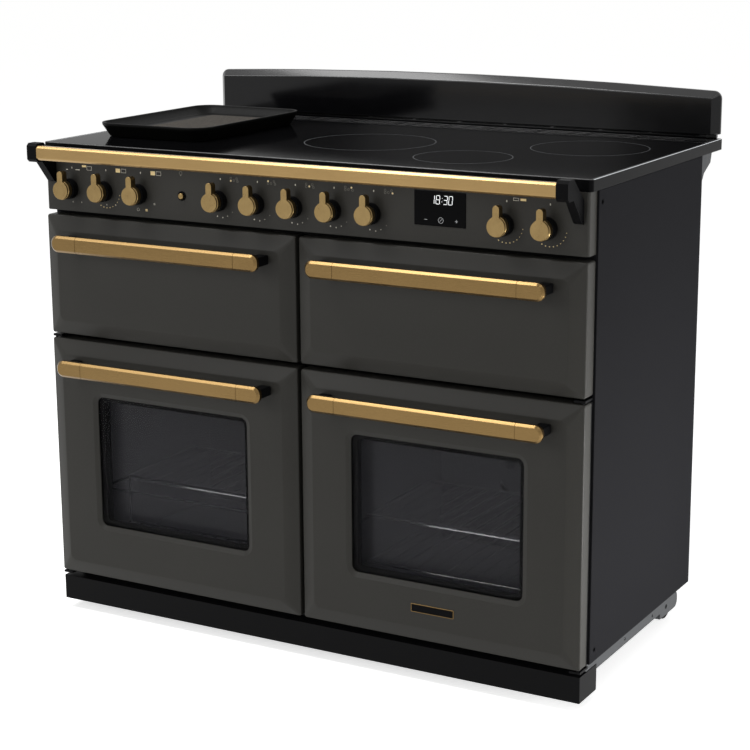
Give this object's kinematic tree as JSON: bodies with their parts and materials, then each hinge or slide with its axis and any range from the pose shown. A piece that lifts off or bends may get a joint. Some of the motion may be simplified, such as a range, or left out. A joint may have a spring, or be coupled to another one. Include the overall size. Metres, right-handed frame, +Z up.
{
  "type": "range cooker",
  "caption": "Free-standing electric range cooker with induction hob, side-hinged ovens, grill drawer, storage drawer, handrail and upstand.",
  "frame": {"origin": "on the floor, on the centre line, midway between the handrail's front and the hob's rear edge", "axes": "+X to the cooker's right as seen from the front, +Y to the back, +Z up"},
  "size_m": [1.092, 0.6634, 1.0029],
  "materials": {
    "slate_enamel": "satin",
    "black_enamel": "gloss",
    "side_sheet": "satin",
    "cavity_enamel": "speckled vitreous enamel",
    "galvanised": "spangled zinc",
    "chrome_wire": "bright",
    "brass": "satin brushed",
    "black_plastic": "fine texture",
    "hob_ceramic": "polished black",
    "display_glass": "polished",
    "window_glass": "tinted",
    "seal_cord": "woven",
    "griddle_coat": "matt non-stick",
    "coil_wire": "wound",
    "element_tube": "oxidised"
  },
  "bodies": {
    "cooker": {"base_frame": "galvanised", "side_panels": "side_sheet", "back_panel": "galvanised", "front_frame": "cavity_enamel", "oven_liners": "cavity_enamel", "upper_chambers": "cavity_enamel", "hob_frame": "black_enamel", "hob_glass": "hob_ceramic", "induction_coils": "coil_wire", "vent_grille": "black_enamel", "upstand": "black_enamel", "control_panel": "slate_enamel", "display": "display_glass", "handrail": "brass", "handrail_brackets": "black_plastic", "plinth": "black_enamel", "roller_brackets": "galvanised", "oven_shelves": "chrome_wire", "cavity_rails": "galvanised", "fan_covers": "cavity_enamel", "fan_motors": "galvanised", "heating_elements": "element_tube", "door_seals": "seal_cord", "control_switches": "black_plastic", "terminal_box": "galvanised", "hinge_brackets": "galvanised"},
    "oven_door_left": {"oven_door_left_skin": "slate_enamel", "oven_door_left_liner": "cavity_enamel", "oven_door_left_glass": "window_glass", "oven_door_left_handle": "brass", "door_rack": "chrome_wire"},
    "oven_door_right": {"oven_door_right_skin": "slate_enamel", "oven_door_right_liner": "cavity_enamel", "oven_door_right_glass": "window_glass", "oven_door_right_handle": "brass"},
    "grill_drawer": {"grill_drawer_front": "slate_enamel", "grill_drawer_handle": "brass", "grill_carriage": "chrome_wire", "grill_pan": "cavity_enamel"},
    "storage_drawer": {"storage_drawer_front": "slate_enamel", "storage_drawer_handle": "brass", "storage_drawer_box": "cavity_enamel"},
    "knob_1": {"knob_1": "brass"},
    "knob_2": {"knob_2": "brass"},
    "knob_3": {"knob_3": "brass"},
    "knob_4": {"knob_4": "brass"},
    "knob_5": {"knob_5": "brass"},
    "knob_6": {"knob_6": "brass"},
    "knob_7": {"knob_7": "brass"},
    "knob_8": {"knob_8": "brass"},
    "knob_9": {"knob_9": "brass"},
    "knob_10": {"knob_10": "brass"},
    "light_button": {"light_button": "brass"},
    "griddle": {"griddle_pan": "griddle_coat"},
    "oven_fan_left": {"oven_fan_left": "galvanised"},
    "rear_roller_left": {"rear_roller_left": "black_plastic"},
    "front_foot_left": {"front_foot_left": "black_plastic"},
    "oven_fan_right": {"oven_fan_right": "galvanised"},
    "rear_roller_right": {"rear_roller_right": "black_plastic"},
    "front_foot_right": {"front_foot_right": "black_plastic"}
  },
  "joints": [
    {"name": "oven_door_left_hinge", "type": "hinge", "parent": "cooker", "child": "oven_door_left", "pos_m": [-0.5367, -0.2648, 0.3], "axis": [0, 0, -1], "range_deg": [0, 95]},
    {"name": "oven_door_right_hinge", "type": "hinge", "parent": "cooker", "child": "oven_door_right", "pos_m": [0.5367, -0.2648, 0.3], "axis": [0, 0, 1], "range_deg": [0, 95]},
    {"name": "grill_drawer_slide", "type": "slide", "parent": "cooker", "child": "grill_drawer", "axis": [0, -1, 0], "range_m": [0, 0.28]},
    {"name": "storage_drawer_slide", "type": "slide", "parent": "cooker", "child": "storage_drawer", "axis": [0, -1, 0], "range_m": [0, 0.28]},
    {"name": "knob_1_turn", "type": "hinge", "parent": "cooker", "child": "knob_1", "pos_m": [-0.487, -0.2823, 0.8224], "axis": [0, 1, 0], "range_deg": [0, 270]},
    {"name": "knob_2_turn", "type": "hinge", "parent": "cooker", "child": "knob_2", "pos_m": [-0.41, -0.2823, 0.8224], "axis": [0, 1, 0], "continuous": true},
    {"name": "knob_3_turn", "type": "hinge", "parent": "cooker", "child": "knob_3", "pos_m": [-0.333, -0.2823, 0.8224], "axis": [0, 1, 0], "range_deg": [0, 270]},
    {"name": "knob_4_turn", "type": "hinge", "parent": "cooker", "child": "knob_4", "pos_m": [-0.1615, -0.2823, 0.8224], "axis": [0, 1, 0], "range_deg": [0, 270]},
    {"name": "knob_5_turn", "type": "hinge", "parent": "cooker", "child": "knob_5", "pos_m": [-0.0845, -0.2823, 0.8224], "axis": [0, 1, 0], "range_deg": [0, 270]},
    {"name": "knob_6_turn", "type": "hinge", "parent": "cooker", "child": "knob_6", "pos_m": [-0.0075, -0.2823, 0.8224], "axis": [0, 1, 0], "range_deg": [0, 270]},
    {"name": "knob_7_turn", "type": "hinge", "parent": "cooker", "child": "knob_7", "pos_m": [0.0695, -0.2823, 0.8224], "axis": [0, 1, 0], "range_deg": [0, 270]},
    {"name": "knob_8_turn", "type": "hinge", "parent": "cooker", "child": "knob_8", "pos_m": [0.1465, -0.2823, 0.8224], "axis": [0, 1, 0], "range_deg": [0, 270]},
    {"name": "knob_9_turn", "type": "hinge", "parent": "cooker", "child": "knob_9", "pos_m": [0.393, -0.2823, 0.8224], "axis": [0, 1, 0], "range_deg": [0, 270]},
    {"name": "knob_10_turn", "type": "hinge", "parent": "cooker", "child": "knob_10", "pos_m": [0.47, -0.2823, 0.8224], "axis": [0, 1, 0], "range_deg": [0, 270]},
    {"name": "light_button_press", "type": "slide", "parent": "cooker", "child": "light_button", "axis": [0, 1, 0], "range_m": [0, 0.003], "stiffness_N_per_m": 600},
    {"name": "griddle_lift", "type": "slide", "parent": "cooker", "child": "griddle", "axis": [0, 0, 1], "range_m": [0, 0.15]},
    {"name": "oven_fan_left_spin", "type": "hinge", "parent": "cooker", "child": "oven_fan_left", "pos_m": [-0.27285, 0.1387, 0.302], "axis": [0, 1, 0], "continuous": true},
    {"name": "rear_roller_left_spin", "type": "hinge", "parent": "cooker", "child": "rear_roller_left", "pos_m": [-0.494, 0.2262, 0.033], "axis": [1, 0, 0], "continuous": true},
    {"name": "front_foot_left_screw", "type": "slide", "parent": "cooker", "child": "front_foot_left", "axis": [0, 0, -1], "range_m": [0, 0.025]},
    {"name": "oven_fan_right_spin", "type": "hinge", "parent": "cooker", "child": "oven_fan_right", "pos_m": [0.27285, 0.1387, 0.302], "axis": [0, 1, 0], "continuous": true},
    {"name": "rear_roller_right_spin", "type": "hinge", "parent": "cooker", "child": "rear_roller_right", "pos_m": [0.494, 0.2262, 0.033], "axis": [1, 0, 0], "continuous": true},
    {"name": "front_foot_right_screw", "type": "slide", "parent": "cooker", "child": "front_foot_right", "axis": [0, 0, -1], "range_m": [0, 0.025]}
  ]
}
